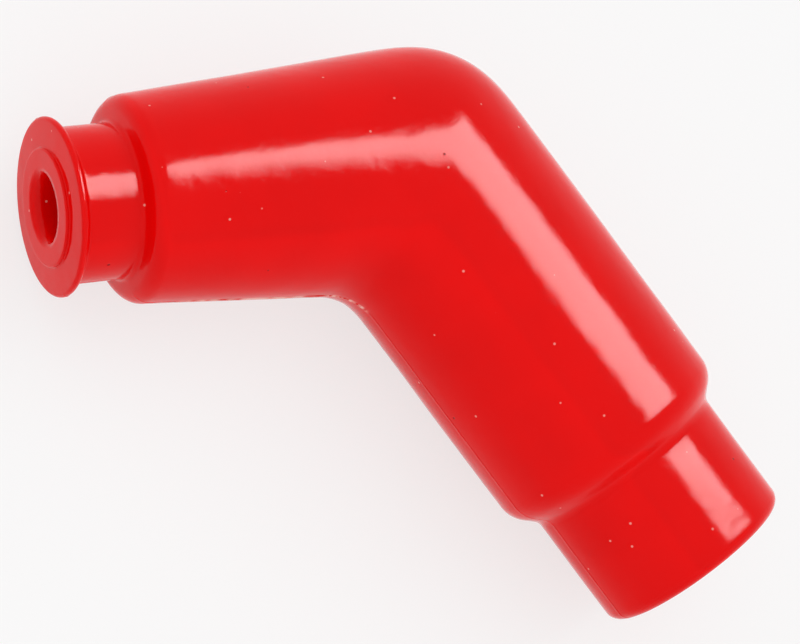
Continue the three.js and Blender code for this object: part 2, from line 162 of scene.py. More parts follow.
CLOSED_END_RADIUS = 0.2

# Moulding relief on the boot, and the painted highlight along its flash
SKIN_INSET = 0.065  # keeps the smooth skin inside the frame's box
SEAM_HEIGHT = 0.06
SEAM_HALF_WIDTH = 0.11
SEAM_BREAK_LENGTH = 1.7
SEAM_MEAN_SHARE = 0.65
SEAM_BREAK_SHARE = 0.35
FLASH_HEIGHT = 0.12  # along the inside of the bend, where the mould's halves met least well
FLASH_HALF_WIDTH = 0.09
FLASH_PLUG_END = 7.5
FLASH_FADE = 4
FLASH_HIGHLIGHT_HALF_WIDTH = 0.3
FLASH_DASH_LENGTH = 1.1
FLASH_DASH_MEAN = 0.55
FLASH_DASH_CONTRAST = 1.8
FLASH_EDGE_POWER = 6
WAVE_HEIGHT = 0.05
WAVE_LENGTH = 8.0

# Fineness
COLUMNS = 144
SEAM_COLUMNS = (0, 0.004, 0.0065, 0.0095, 0.014, 0.022, 0.034)  # radians from the parting line
ROW_PITCH = 0.5
BORE_PITCH = 1.0
ARC_STEPS = 10
SMALL_ARC_STEPS = 4
BEND_STEPS = 48
BEND_BLEND_PASSES = 12
BEND_BLEND_RISE = 4  # the blend is full from a quarter of the way in
POCKET_STEPS = 12
WIRE_SIDES = 24
WIRE_END_STEPS = 6
SLEEVE_STEPS = 60
THREAD_SIDES = 64
THREAD_ROWS_A_TURN = 32
SHARP_ANGLE = 40  # degrees

# Finishes: colours, sizes in millimetres, and the ends of the noise that each ramp spreads out
SILICONE_IOR = 1.2  # under the real 1.41, so that the white room veils the red little
SILICONE_RED = (0.84, 0.001, 0.001, 1)
SILICONE_DEEP_RED = (0.80, 0.001, 0.001, 1)
DUST_PINK = (0.9, 0.3, 0.26, 1)
# Painted shade: the dark red of the pits stands for the shade inside them
PIT_SHADE_RED = (0.3, 0.0, 0.0, 1)
# Painted highlight: the pale pink along the flash stands for the light that the ridge catches
FLASH_HIGHLIGHT_PINK = (1.0, 0.52, 0.45, 1)
DOT_CORE = 0.6  # share of a dot's radius that has its full colour
CLOUD_SIZE = 9
CLOUD_ENDS = (0.35, 0.65)
DUST_SPACING = 2.9
DUST_RADIUS = 0.16
PIT_SPACING = 4.6
PIT_RADIUS = 0.17
PIT_DEPTH = 0.05
GLOSS_GRAIN = 0.5
GLOSS_GRAIN_ENDS = (0.46, 0.74)
GLOSS_ROUGHNESS = (0.08, 0.19)
SWELL_SIZE = 3.2
SWELL_HEIGHT = 0.05
PEEL_SIZE = 1.4
PEEL_HEIGHT = 0.022
BRIGHT_BRASS = (0.78, 0.57, 0.25, 1)
DULL_BRASS = (0.52, 0.34, 0.13, 1)
BRIGHT_STEEL = (0.66, 0.67, 0.69, 1)
DULL_STEEL = (0.44, 0.44, 0.45, 1)
BRASS_ROUGHNESS = 0.24
THREADED_BRASS_ROUGHNESS = 0.28
STEEL_ROUGHNESS = 0.26
TURNING_PITCH = 0.12
TURNING_HEIGHT = 0.004
TURNING_ENDS = (0.3, 0.7)
TURNING_SMOOTHER = 0.06
TURNING_ROUGHER = 0.08
TARNISH_SIZE = 1.5
TARNISH_ENDS = (0.42, 0.7)
CERAMIC_IOR = 1.55
CERAMIC_ROUGHNESS = (0.5, 0.68)
CERAMIC_CREAM = (0.86, 0.83, 0.76, 1)
CERAMIC_SHADE = (0.74, 0.70, 0.62, 1)
CERAMIC_DIRT = (0.45, 0.40, 0.33, 1)
CERAMIC_GRAIN = 0.15
CERAMIC_GRAIN_HEIGHT = 0.008
CERAMIC_SHADE_ENDS = (0.4, 0.7)
CERAMIC_ROUGHNESS_ENDS = (0.3, 0.7)
DIRT_SPACING = 0.9
DIRT_RADIUS = 0.12

# The photograph's camera: turns in radians about x, y and z, from the cap's frame to the camera's
CAMERA_TURNS = (-0.1847, 0.4098, -0.8650)
CAMERA_OFFSET = (0.6461, 15.7731)
CAMERA_DISTANCE = 500
FOCAL_PIXELS = 4800
PHOTO_WIDTH = 800
SENSOR_WIDTH = 36
CAMERA_NEAR = 0.01  # metres
CAMERA_FAR = 50

# Studio, in metres, in the row's frame
LAMP_AIM = (0, 0, 0.013)
LAMP_DIRECTION = (0.002, 0.49, 0.872)
LAMP_DISTANCE = 1.32
KEY_WIDTH = 0.8
KEY_HEIGHT = 1.1
KEY_RADIANCE = 2.5
SOFTBOX_WIDTH = 0.82
SOFTBOX_HEIGHT = 1.09
SOFTBOX_RADIANCE = 30
SOFTBOX_PLATEAU = (0.3, 0.28)  # half the even part of its width and height, as shares of them
ROOM_LIGHT = 0.86
WHITE = (1, 1, 1, 1)
PAPER = (0.88, 0.88, 0.88, 1)
FLOOR_SIZE = 8
FLOOR_WHITE_SHARE = 0.7

bend = math.radians(BEND_ANGLE)
UP = np.array([0.0, 0.0, 1.0])
PLUG_AXIS = np.array([1.0, 0.0, 0.0])
CABLE_AXIS = np.array([math.cos(bend), -math.sin(bend), 0.0])
PLUG_INSIDE = np.array([0.0, -1.0, 0.0])
CABLE_INSIDE = np.cross(UP, CABLE_AXIS)

# Places along the plug arm
spring_end = CONTACT_PLUG_REACH + 2 * FIT + RESISTOR_LENGTH + SPRING_LENGTH
socket_floor = spring_end + FIT + SOCKET_BASE
socket_mouth = socket_floor + SOCKET_DEPTH
slot_start = socket_mouth - SOCKET_SLOT_LENGTH
clip_middle = socket_mouth - CLIP_FROM_MOUTH
step_end = PLUG_REACH - SKIRT_LENGTH
step_start = step_end - STEP_LENGTH

# Places along the cable arm
collar_face = CABLE_REACH - LIP_HEIGHT
collar_back = collar_face - COLLAR_WIDTH
neck_end = collar_back - COLLAR_FLANK
neck_start = neck_end - NECK_LENGTH
cable_body_end = neck_start - SHOULDER_LENGTH
screw_head = CONTACT_CABLE_REACH + FIT

body_radius = BODY_DIAMETER / 2
root_radius = CABLE_ROOT_DIAMETER / 2
lead_mouth_radius = LEAD_MOUTH_DIAMETER / 2 + LEAD_MOUTH_EDGE
socket_radius = SOCKET_DIAMETER / 2
taper = (root_radius - CABLE_SHOULDER_DIAMETER / 2) / cable_body_end


def cap_matrix():
    """From the cap's frame in millimetres to the row's frame in metres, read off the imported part."""
    axes = {mount["name"]: Vector(mount["axis"]) for mount in frame["record"]["mounts"]}
    ends = {mount["name"]: Vector(mount["pos_m"]) for mount in frame["record"]["mounts"]}
    plug = axes["plug_end_face"].normalized()
    up = axes["cable_end_face"].cross(plug).normalized()
    low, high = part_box("resistor_rod")
    middle = (Vector(low) + Vector(high)) / 2
    crossing = Vector((ends["plug_end_face"].x - PLUG_REACH * MM, middle.y, middle.z))
    turned = Matrix((plug, up.cross(plug), up)).transposed()
    return Matrix.Translation(crossing) @ turned.to_4x4() @ Matrix.Scale(MM, 4)


CAP = cap_matrix()


def to_row(points):
    """Points of the cap's frame as an array of points in the row's frame."""
    matrix = np.array(CAP)
    return np.asarray(points) @ matrix[:3, :3].T + matrix[:3, 3]


def rounded(corners, steps=ARC_STEPS):
    """A profile of (along, radius) corners. A corner's third value is the radius of its arc."""
    profile = []
    for i, corner in enumerate(corners):
        point = np.array(corner[:2], dtype=float)
        if len(corner) < 3:
            profile.append(point)
            continue
        before = np.array(corners[i - 1][:2]) - point
        after = np.array(corners[i + 1][:2]) - point
        room = min(np.linalg.norm(before), np.linalg.norm(after)) / 2
        before = before / np.linalg.norm(before)
        after = after / np.linalg.norm(after)
        half = math.acos(max(-1.0, min(1.0, float(before @ after)))) / 2
        reach = min(corner[2] / math.tan(half), room)
        arc = reach * math.tan(half)
        middle = (before + after) / np.linalg.norm(before + after)
        centre = point + middle * arc / math.sin(half)
        start = point + before * reach - centre
        end = point + after * reach - centre
        sweep = math.atan2(start[0] * end[1] - start[1] * end[0], float(start @ end))
        for k in range(steps + 1):
            c, s = math.cos(sweep * k / steps), math.sin(sweep * k / steps)
            turned = np.array([c * start[0] - s * start[1], s * start[0] + c * start[1]])
            profile.append(centre + turned)
    return profile


def divided(profile, pitch=ROW_PITCH):
    """The profile with its long walls divided into steps of about one pitch."""
    fine = [profile[0]]
    for before, after in zip(profile, profile[1:]):
        gap = np.linalg.norm(after - before)
        if gap < SAME_PLACE:
            continue
        count = max(1, math.ceil(gap / pitch))
        fine.extend(before + (after - before) * k / count for k in range(1, count + 1))
    return fine


def seam_angles():
    """Angles round a section, close together where the parting line runs."""
    close = np.array(SEAM_COLUMNS)
    beside = np.concatenate([-close[:0:-1], close])
    first = close[-1] + 2 * math.pi / COLUMNS
    between = np.linspace(first, math.pi - first, COLUMNS // 2 - 1)
    return np.concatenate([beside, between, math.pi + beside, math.pi + between])


ANGLES = seam_angles()


def section(centre, half_a, half_b, angles=ANGLES):
    """An ellipse of points about a centre, given its two half axes."""
    return centre + np.outer(np.cos(angles), half_a) + np.outer(np.sin(angles), half_b)


def arm_rows(profile, axis, inside):
    """Round sections along an arm, from a profile of (along, radius)."""
    return [section(axis * along, inside * radius, UP * radius) for along, radius in profile]


class Bend:
    """The bend between the arms: a cone along the cable arm, rounded into the plug arm's cylinder.

    Its sections lie in planes that turn about the centre of the inner fillet. Each is made of two half
    ellipses that meet above and below the arm's axis.
    """

    def __init__(self, plug_radius, root, loss, inner_fillet, outer_round):
        self.plug_radius = plug_radius
        self.root = root
        self.loss = loss
        self.inner_fillet = inner_fillet
        self.outer_round = outer_round
        self.plug_outer = self.wall(-PLUG_INSIDE, plug_radius)
        self.cable_inner = self.wall(CABLE_INSIDE + CABLE_AXIS * loss, root)
        self.cable_outer = self.wall(-CABLE_INSIDE + CABLE_AXIS * loss, root)
        self.fillet = self.corner(self.wall(PLUG_INSIDE, plug_radius), self.cable_inner, inner_fillet)
        self.arc = self.corner(self.plug_outer, self.cable_outer, -outer_round)
        self.plug_start = self.fillet @ PLUG_AXIS
        self.cable_start = (self.fillet - self.cable_inner[0] * inner_fillet) @ CABLE_AXIS

    @staticmethod
    def wall(normal, radius):
        """A wall as a line in the plane of the arms: its normal, and its points' share along that."""
        length = np.linalg.norm(normal)
        return normal / length, radius / length

    @staticmethod
    def corner(wall_a, wall_b, offset):
        """The point that lies at an offset outside of both walls."""
        normals = np.array([wall_a[0][:2], wall_b[0][:2]])
        x, y = np.linalg.solve(normals, [wall_a[1] + offset, wall_b[1] + offset])
        return np.array([x, y, 0.0])

    def outer_reach(self, outward):
        """How far a ray from the fillet's centre runs to the nearer wall, or to their arc."""
        from_arc = self.fillet - self.arc
        near = from_arc @ outward
        to_arc = -near + math.sqrt(max(near**2 - from_arc @ from_arc + self.outer_round**2, 0))
        spoke = from_arc + outward * to_arc
        if spoke @ PLUG_AXIS <= 0 and spoke @ np.cross(UP, self.cable_outer[0]) <= 0:
            return to_arc
        walls = (self.plug_outer, self.cable_outer)
        return min((reach - self.fillet @ normal) / (outward @ normal) for normal, reach in walls)

    def crest(self, outward):
        """Where a ray from the fillet's centre crosses the arms' axes, and the radius there."""
        on_plug = self.fillet - outward * (self.fillet @ PLUG_INSIDE) / (outward @ PLUG_INSIDE)
        distance = on_plug @ PLUG_AXIS
        if distance > 0:
            t = min(1.0, distance / self.plug_start)
            return on_plug, self.root + (self.plug_radius - self.root) * t * t * (3 - 2 * t)
        on_cable = self.fillet - outward * (self.fillet @ CABLE_INSIDE) / (outward @ CABLE_INSIDE)
        return on_cable, self.root - self.loss * (on_cable @ CABLE_AXIS)

    def rows(self, steps):
        """Sections from the cable arm to the plug arm."""
        first = -self.cable_inner[0]
        last = self.plug_outer[0]
        sweep = math.atan2(np.cross(first, last)[2], first @ last)
        inner_side = np.cos(ANGLES)[:, None] > 0
        rows = []
        for k in range(1, steps):
            c, s = math.cos(sweep * k / steps), math.sin(sweep * k / steps)
            outward = np.array([c * first[0] - s * first[1], s * first[0] + c * first[1], 0.0])
            inner = self.fillet + outward * self.inner_fillet
            outer = self.fillet + outward * self.outer_reach(outward)
            crest, radius = self.crest(outward)
            inner_half = section(crest, inner - crest, UP * radius)
            outer_half = section(crest, crest - outer, UP * radius)
            rows.append(np.where(inner_side, inner_half, outer_half))
        return rows


def blended(rows, passes):
    """The rows with the crease across their middle drawn round, and the first and last as they were."""
    rows = np.array(rows)
    share = np.linspace(0, 1, len(rows))
    weight = np.clip(BEND_BLEND_RISE * np.minimum(share, 1 - share), 0, 1)[1:-1, None, None]
    for _ in range(passes):
        between = (rows[:-2] + rows[2:]) / 2
        rows[1:-1] += weight * (between - rows[1:-1]) / 2
    return list(rows)


def outer_rows():
    """The boot's outside, from the lead's mouth over the bend to the insulator's mouth."""
    elbow = Bend(body_radius, root_radius, taper, BEND_INNER_FILLET, BEND_OUTER_ROUND)
    cable = rounded([
        (elbow.cable_start, root_radius - taper * elbow.cable_start),
        (cable_body_end, CABLE_SHOULDER_DIAMETER / 2, SHOULDER_ROUND),
        (neck_start, NECK_DIAMETER / 2, NECK_FILLET),
        (neck_end, NECK_DIAMETER / 2, COLLAR_BACK_ROUND),
        (collar_back, COLLAR_DIAMETER / 2, COLLAR_BACK_ROUND),
        (collar_face - COLLAR_FACE_FALL, COLLAR_DIAMETER / 2, COLLAR_FACE_ROUND),
        (collar_face, LIP_DIAMETER / 2, LIP_FOOT_ROUND),
        (CABLE_REACH, LIP_DIAMETER / 2, LIP_ROUND),
        (CABLE_REACH, lead_mouth_radius),
    ])
    plug = rounded([
        (elbow.plug_start, body_radius),
        (step_start, body_radius, STEP_FILLET),
        (step_end, SKIRT_DIAMETER / 2, SKIRT_FILLET),
        (PLUG_REACH, SKIRT_DIAMETER / 2, SKIRT_RIM_ROUND),
        (PLUG_REACH, INSULATOR_MOUTH_DIAMETER / 2),
    ])
    around = blended(elbow.rows(BEND_STEPS), BEND_BLEND_PASSES)
    return (
        arm_rows(divided(cable)[::-1], CABLE_AXIS, CABLE_INSIDE)
        + around
        + arm_rows(divided(plug), PLUG_AXIS, PLUG_INSIDE)
    )


def seal_ribs(first_middle, bore_radius):
    """Corners of the ribs that seal the bore on the insulator."""
    corners = []
    for i in range(SEAL_RIB_COUNT):
        middle = first_middle + i * SEAL_RIB_PITCH
        corners += [
            (middle - SEAL_RIB_WIDTH / 2, bore_radius, SEAL_RIB_FOOT_ROUND),
            (middle, bore_radius - SEAL_RIB_HEIGHT, SEAL_RIB_ROUND),
            (middle + SEAL_RIB_WIDTH / 2, bore_radius, SEAL_RIB_FOOT_ROUND),
        ]
    return corners


def inner_rows():
    """The boot's inside, from the insulator's mouth round the elbow to the lead's mouth."""
    chamber = ROD_DIAMETER / 2 + END_CAP_WALL + 2 * FIT
    seat = SOCKET_DIAMETER / 2 + FIT
    groove = SOCKET_FLANGE_DIAMETER / 2 + FIT
    insulator = INSULATOR_BORE_DIAMETER / 2
    lead = LEAD_BORE_DIAMETER / 2
    pocket = CONTACT_DIAMETER / 2 + FIT
    groove_start = socket_floor - FIT
    groove_end = groove_start + SOCKET_FLANGE_WIDTH + 2 * FIT
    first_rib = PLUG_REACH - INSULATOR_MOUTH_DEPTH - (SEAL_RIB_COUNT + 0.5) * SEAL_RIB_PITCH
    elbow = Bend(pocket, pocket, 0, 0, pocket)
    plug = rounded([
        (elbow.plug_start, pocket),
        (CONTACT_PLUG_REACH + FIT, pocket),
        (CONTACT_PLUG_REACH + FIT, chamber),
        (spring_end, chamber),
        (spring_end, seat),
        (groove_start, seat),
        (groove_start, groove),
        (groove_end, groove),
        (groove_end, seat),
        (socket_mouth - SOCKET_PROUD, seat, INSULATOR_SEAT_ROUND),
        (socket_mouth - SOCKET_PROUD, insulator, INSULATOR_SEAT_ROUND),
        *seal_ribs(first_rib, insulator),
        (PLUG_REACH - INSULATOR_MOUTH_DEPTH, insulator, INSULATOR_MOUTH_ROUND),
        (PLUG_REACH - INSULATOR_MOUTH_EDGE, INSULATOR_MOUTH_DIAMETER / 2, INSULATOR_MOUTH_EDGE_ROUND),
        (PLUG_REACH, INSULATOR_MOUTH_DIAMETER / 2),
    ], SMALL_ARC_STEPS)
    cable = rounded([
        (elbow.cable_start, pocket),
        (CONTACT_CABLE_REACH + FIT, pocket),
        (CONTACT_CABLE_REACH + FIT, lead),
        (CABLE_REACH - LEAD_MOUTH_DEPTH, lead, LEAD_MOUTH_ROUND),
        (CABLE_REACH - LEAD_MOUTH_DEPTH / 3, (lead + LEAD_MOUTH_DIAMETER / 2) / 2, LEAD_MOUTH_ROUND),
        (CABLE_REACH, lead_mouth_radius),
    ], SMALL_ARC_STEPS)
    around = elbow.rows(POCKET_STEPS)
    return (
        arm_rows(divided(plug, BORE_PITCH)[-2::-1], PLUG_AXIS, PLUG_INSIDE)
        + around[::-1]
        + arm_rows(divided(cable, BORE_PITCH)[:-1], CABLE_AXIS, CABLE_INSIDE)
    )


def flash_share(centre):
    """How much flash a section has on its inner side: all of it round the bend, none by the ends."""
    from_plug_end = FLASH_PLUG_END - centre @ PLUG_AXIS
    from_shoulder = cable_body_end - SHOULDER_ROUND - centre @ CABLE_AXIS
    return float(np.clip(min(from_plug_end, from_shoulder) / FLASH_FADE, 0, 1))


def from_parting_line(row):
    """How far each point of a section is from the plane of the two arms, round its edge."""
    lengths = np.linalg.norm(row - row.mean(axis=0), axis=1)
    return np.abs((ANGLES + math.pi / 2) % math.pi - math.pi / 2) * lengths


def flash_highlight_dashes(row):
    """How pale the painted highlight on the flash makes each point of a section: short dashes along the
    inside of the bend.
    """
    centre = row.mean(axis=0)
    wander = noise.noise(Vector(centre) / FLASH_DASH_LENGTH)
    dash = np.clip(FLASH_DASH_MEAN + FLASH_DASH_CONTRAST * wander, 0, 1)
    line = 1 / (1 + (from_parting_line(row) / FLASH_HIGHLIGHT_HALF_WIDTH) ** FLASH_EDGE_POWER)
    return flash_share(centre) * dash * np.where(np.cos(ANGLES) > 0, line, 0)


def relief(row):
    """How far each point of a section is moved out or in.

    There is a parting line on both edges, flash along the inside of the bend, and slow waves all over.
    """
    centre = row.mean(axis=0)
    spokes = row - centre
    lengths = np.linalg.norm(spokes, axis=1)
    outward = spokes / lengths[:, None]
    from_seam = from_parting_line(row)
    broken = SEAM_MEAN_SHARE + SEAM_BREAK_SHARE * noise.noise(Vector(centre) / SEAM_BREAK_LENGTH)
    ridge = SEAM_HEIGHT * broken * np.exp(-((from_seam / SEAM_HALF_WIDTH) ** 2))
    falling = 1 + (from_seam / FLASH_HALF_WIDTH) ** FLASH_EDGE_POWER
    flash = FLASH_HEIGHT * broken * flash_share(centre) / falling
    ridge = np.where(np.cos(ANGLES) > 0, np.maximum(ridge, flash), ridge)
    wave = np.array([noise.noise(Vector(point) / WAVE_LENGTH) for point in row])
    return outward * (ridge + WAVE_HEIGHT * wave - SKIN_INSET)[:, None]


def shell_faces(first, sides, count, closed):
    """The faces over a row of sections, closed on itself or with a flat face over each end."""
    faces = []
    for r in range(count if closed else count - 1):
        here, there = first + r * sides, first + ((r + 1) % count) * sides
        for i in range(sides):
            j = (i + 1) % sides
            faces.append((here + i, here + j, there + j, there + i))
    if not closed:
        faces.append(tuple(range(first, first + sides)))
        faces.append(tuple(range(first + (count - 1) * sides, first + count * sides)))
    return faces


def skin(name, shells, closed=False):
    """A mesh object over one or more rows of sections."""
    points = []
    faces = []
    for rows in shells:
        faces += shell_faces(len(points), len(rows[0]), len(rows), closed)
        points += to_row(np.concatenate(rows)).tolist()
    mesh = bpy.data.meshes.new(name)
    mesh.from_pydata(points, [], faces)
    work = bmesh.new()
    work.from_mesh(mesh)
    bmesh.ops.recalc_face_normals(work, faces=work.faces)
    work.to_mesh(mesh)
    work.free()
    mesh.shade_smooth()
    piece = bpy.data.objects.new(name, mesh)
    bpy.context.scene.collection.objects.link(piece)
    return piece


def stand_in(piece, node, material):
    """Let a piece stand for a node of the frame."""
    piece.data.materials.append(material)
    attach(piece, "root")
    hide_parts(node)


def boot(material):
    """The moulded cap. Its point attribute "flash" tells the material where to paint a highlight along
    the flash.
    """
    smooth = outer_rows()
    outside = [row + relief(row) for row in smooth]
    piece = skin("moulded_boot", [outside + inner_rows()], closed=True)
    flash_highlights = np.zeros(len(piece.data.vertices))
    flash_highlights[: len(smooth) * len(ANGLES)] = np.concatenate([flash_highlight_dashes(row) for row in smooth])
    piece.data.attributes.new("flash", "FLOAT", "POINT").data.foreach_set("value", flash_highlights)
    stand_in(piece, "boot", material)


def sharpened(piece):
    """Keep the piece's hard edges hard under smooth shading."""
    piece.data.set_sharp_from_angle(angle=math.radians(SHARP_ANGLE))


def sleeve(loop, half_gap, steps):
    """Half of a slotted tube: a closed loop of (along, radius) swept from one slot to the other."""
    rows = []
    for k in range(steps + 1):
        row = []
        for along, radius in loop:
            edge = math.asin(half_gap / radius)
            angle = edge + (math.pi - 2 * edge) * k / steps
            outward = PLUG_INSIDE * math.sin(angle) + UP * math.cos(angle)
            row.append(PLUG_AXIS * along + outward * radius)
        rows.append(np.array(row))
    return rows


def plug_terminal(material):
    """Turned brass socket with two slots, a flange and a groove for its clip."""
    bore = socket_radius - SOCKET_WALL
    groove = socket_radius - CLIP_GROOVE_DEPTH
    groove_half = CLIP_WIRE / 2 + FIT
    cup = rounded([
        (socket_floor - SOCKET_BASE, socket_radius - SOCKET_BACK_CHAMFER),
        (socket_floor - SOCKET_BASE + SOCKET_BACK_CHAMFER, socket_radius),
        (socket_floor, socket_radius),
        (socket_floor, SOCKET_FLANGE_DIAMETER / 2, SOCKET_EDGE_ROUND),
        (socket_floor + SOCKET_FLANGE_WIDTH, SOCKET_FLANGE_DIAMETER / 2, SOCKET_EDGE_ROUND),
        (socket_floor + SOCKET_FLANGE_WIDTH, socket_radius),
        (slot_start, socket_radius),
        (slot_start, bore),
        (socket_floor, bore, SOCKET_FLOOR_ROUND),
        (socket_floor, CLOSED_END_RADIUS),
    ], SMALL_ARC_STEPS)
    loop = rounded([
        (slot_start, bore),
        (slot_start, socket_radius),
        (clip_middle - groove_half, socket_radius, SOCKET_EDGE_ROUND),
        (clip_middle - groove_half, groove, SOCKET_EDGE_ROUND),
        (clip_middle + groove_half, groove, SOCKET_EDGE_ROUND),
        (clip_middle + groove_half, socket_radius, SOCKET_EDGE_ROUND),
        (socket_mouth, socket_radius, SOCKET_WALL / 3),
        (socket_mouth, bore, SOCKET_WALL / 3),
        (socket_mouth - SOCKET_WALL, bore),
    ], SMALL_ARC_STEPS)
    half = sleeve(loop, SOCKET_SLOT_WIDTH / 2, SLEEVE_STEPS)
    mirrored = [row * np.array([1, -1, 1]) for row in half]
    piece = skin("slotted_socket", [arm_rows(cup, PLUG_AXIS, PLUG_INSIDE), half, mirrored])
    sharpened(piece)
    stand_in(piece, "plug_terminal", material)


def terminal_clip(material):
    """Wire ring sprung round the socket, open at one side, with its two ends rounded."""
    ring_radius = socket_radius - CLIP_GROOVE_DEPTH + FIT + CLIP_WIRE / 2
    half_gap = math.radians(CLIP_GAP / 2)
    wire = CLIP_WIRE / 2
    end = np.linspace(0, math.pi / 2, WIRE_END_STEPS + 1)[1:]
    turns = np.linspace(half_gap, 2 * math.pi - half_gap, SLEEVE_STEPS)
    stations = [(half_gap - wire * math.cos(a) / ring_radius, wire * math.sin(a)) for a in end]
    stations += [(turn, wire) for turn in turns[1:-1]]
    stations += [(turns[-1] + wire * math.cos(a) / ring_radius, wire * math.sin(a)) for a in end[::-1]]
    angles = np.linspace(0, 2 * math.pi, WIRE_SIDES, endpoint=False)
    rows = []
    for turn, thickness in stations:
        outward = PLUG_INSIDE * math.cos(turn) + UP * math.sin(turn)
        centre = PLUG_AXIS * clip_middle + outward * ring_radius
        rows.append(section(centre, outward * thickness, PLUG_AXIS * thickness, angles))
    piece = skin("wire_clip", [rows])
    stand_in(piece, "terminal_clip", material)


def lead_screw(material):
    """Pointed brass screw: a coarse thread runs down a core that grows slim towards the point."""
    head = rounded([
        (screw_head - SCREW_SPIGOT_LENGTH, SCREW_SPIGOT_DIAMETER / 2 - SCREW_SPIGOT_CHAMFER),
        (screw_head - SCREW_SPIGOT_LENGTH + SCREW_SPIGOT_CHAMFER, SCREW_SPIGOT_DIAMETER / 2),
        (screw_head, SCREW_SPIGOT_DIAMETER / 2),
        (screw_head, SCREW_HEAD_DIAMETER / 2),
        (screw_head + SCREW_HEAD_LENGTH, SCREW_HEAD_DIAMETER / 2, SCREW_HEAD_ROUND),
        (screw_head + SCREW_HEAD_LENGTH, CLOSED_END_RADIUS),
    ], SMALL_ARC_STEPS)
    angles = np.linspace(0, 2 * math.pi, THREAD_SIDES, endpoint=False)
    start = screw_head + SCREW_HEAD_LENGTH / 2
    length = SCREW_LENGTH + SCREW_HEAD_LENGTH / 2
    count = round(THREAD_ROWS_A_TURN * length / SCREW_PITCH)
    spokes = np.outer(np.cos(angles), CABLE_INSIDE) + np.outer(np.sin(angles), UP)
    thread = []
    for row in range(count + 1):
        share = row / count
        slimming = math.sqrt(1 - SCREW_POINT_SLIMMING * share)
        fade = min(1, SCREW_THREAD_FADE * (1 - share))
        turn = row / THREAD_ROWS_A_TURN - angles / (2 * math.pi)
        from_crest = np.abs(turn - np.round(turn))
        ridge = np.clip(SCREW_THREAD_CREST - SCREW_THREAD_SLOPE * from_crest, 0, 1)
        radius = slimming * (SCREW_CORE_DIAMETER / 2 + fade * ridge * SCREW_THREAD_HEIGHT)
        thread.append(CABLE_AXIS * (start + share * length) + spokes * radius[:, None])
    piece = skin("pointed_screw", [arm_rows(head, CABLE_AXIS, CABLE_INSIDE), thread])
    sharpened(piece)
    stand_in(piece, "lead_screw", material)


class Finish:
    """A material, with its nodes added one by one round its shader."""

    def __init__(self, name, **inputs):
        self.material = bpy.data.materials.new(name)
        self.material.use_nodes = True
        self.tree = self.material.node_tree
        self.shader = self.tree.nodes["Principled BSDF"]
        self.where = self.add("TexCoord").outputs["Object"]
        self.set(**inputs)

    def put(self, socket, value):
        """Give a socket a value, or a link from another socket."""
        if isinstance(value, bpy.types.NodeSocket):
            self.tree.links.new(value, socket)
        else:
            socket.default_value = value

    def set(self, **inputs):
        """Set the shader's own sockets."""
        for name, value in inputs.items():
            self.put(self.shader.inputs[name.replace("_", " ")], value)

    def add(self, kind, settings=None, values=(), **inputs):
        """A new node of a kind, with its settings, and its inputs given in order or by name."""
        node = self.tree.nodes.new("ShaderNode" + kind)
        for name, value in (settings or {}).items():
            setattr(node, name, value)
        for i, value in enumerate(values):
            self.put(node.inputs[i], value)
        for name, value in inputs.items():
            self.put(node.inputs[name.replace("_", " ")], value)
        return node

    def noise(self, size, detail=1.0):
        """Soft noise with features of about a size in metres."""
        node = self.add("TexNoise", Vector=self.where, Scale=1 / size, Detail=detail)
        return node.outputs["Fac"]

    def ramp(self, value, low, high, to_low=0.0, to_high=1.0):
        """A value carried from one range to another, and held at its ends."""
        node = self.add(
            "MapRange", Value=value, From_Min=low, From_Max=high, To_Min=to_low, To_Max=to_high
        )
        return node.outputs["Result"]

    def dots(self, spacing, radius):
        """Sparse dots of about a radius, 1 at their middle, from points strewn through space."""
        cells = self.add("TexVoronoi", Vector=self.where, Scale=1 / spacing)
        reach = radius / spacing
        return self.ramp(cells.outputs["Distance"], DOT_CORE * reach, reach, 1, 0)

    def mix(self, share, colour_a, colour_b):
        """The first colour where the share is 0, and the second where it is 1."""
        node = self.add("Mix", {"data_type": "RGBA"})
        self.put(node.inputs[MIX_SHARE], share)
        self.put(node.inputs[MIX_COLOUR_A], colour_a)
        self.put(node.inputs[MIX_COLOUR_B], colour_b)
        return node.outputs[MIX_RESULT]

    def bump(self, height, distance, normal=None):
        """A normal bent by a height, on top of another bump's normal if one is given."""
        node = self.add("Bump", Height=height, Distance=distance)
        if normal:
            self.put(node.inputs["Normal"], normal)
        return node.outputs["Normal"]


def silicone():
    """Glossy moulded silicone rubber, with the dust and the small pits of an ordinary moulding, painted
    shade in the pits and a painted highlight along the flash.
    """
    finish = Finish("red_silicone", IOR=SILICONE_IOR)
    cloud = finish.noise(CLOUD_SIZE * MM, 2)
    specks = finish.dots(DUST_SPACING * MM, DUST_RADIUS * MM)
    pits = finish.dots(PIT_SPACING * MM, PIT_RADIUS * MM)
    red = finish.mix(finish.ramp(cloud, *CLOUD_ENDS), SILICONE_RED, SILICONE_DEEP_RED)
    dusty = finish.mix(specks, red, DUST_PINK)
    # Painted shade: the pits are coloured dark red for the shade inside them
    pit_shaded = finish.mix(pits, dusty, PIT_SHADE_RED)
    flash_highlights = finish.add("Attribute", {"attribute_name": "flash"}).outputs["Fac"]
    # Painted highlight: the flash dashes are coloured pale pink for the light they catch
    flash_highlighted = finish.mix(flash_highlights, pit_shaded, FLASH_HIGHLIGHT_PINK)
    gloss = finish.ramp(finish.noise(GLOSS_GRAIN * MM, 3), *GLOSS_GRAIN_ENDS, *GLOSS_ROUGHNESS)
    swell = finish.bump(finish.noise(SWELL_SIZE * MM), SWELL_HEIGHT * MM)
    peel = finish.bump(finish.noise(PEEL_SIZE * MM, 3), PEEL_HEIGHT * MM, swell)
    dented = finish.bump(finish.ramp(pits, 0, 1, 1, 0), PIT_DEPTH * MM, peel)
    finish.set(Base_Color=flash_highlighted, Roughness=gloss, Normal=dented)
    return finish.material


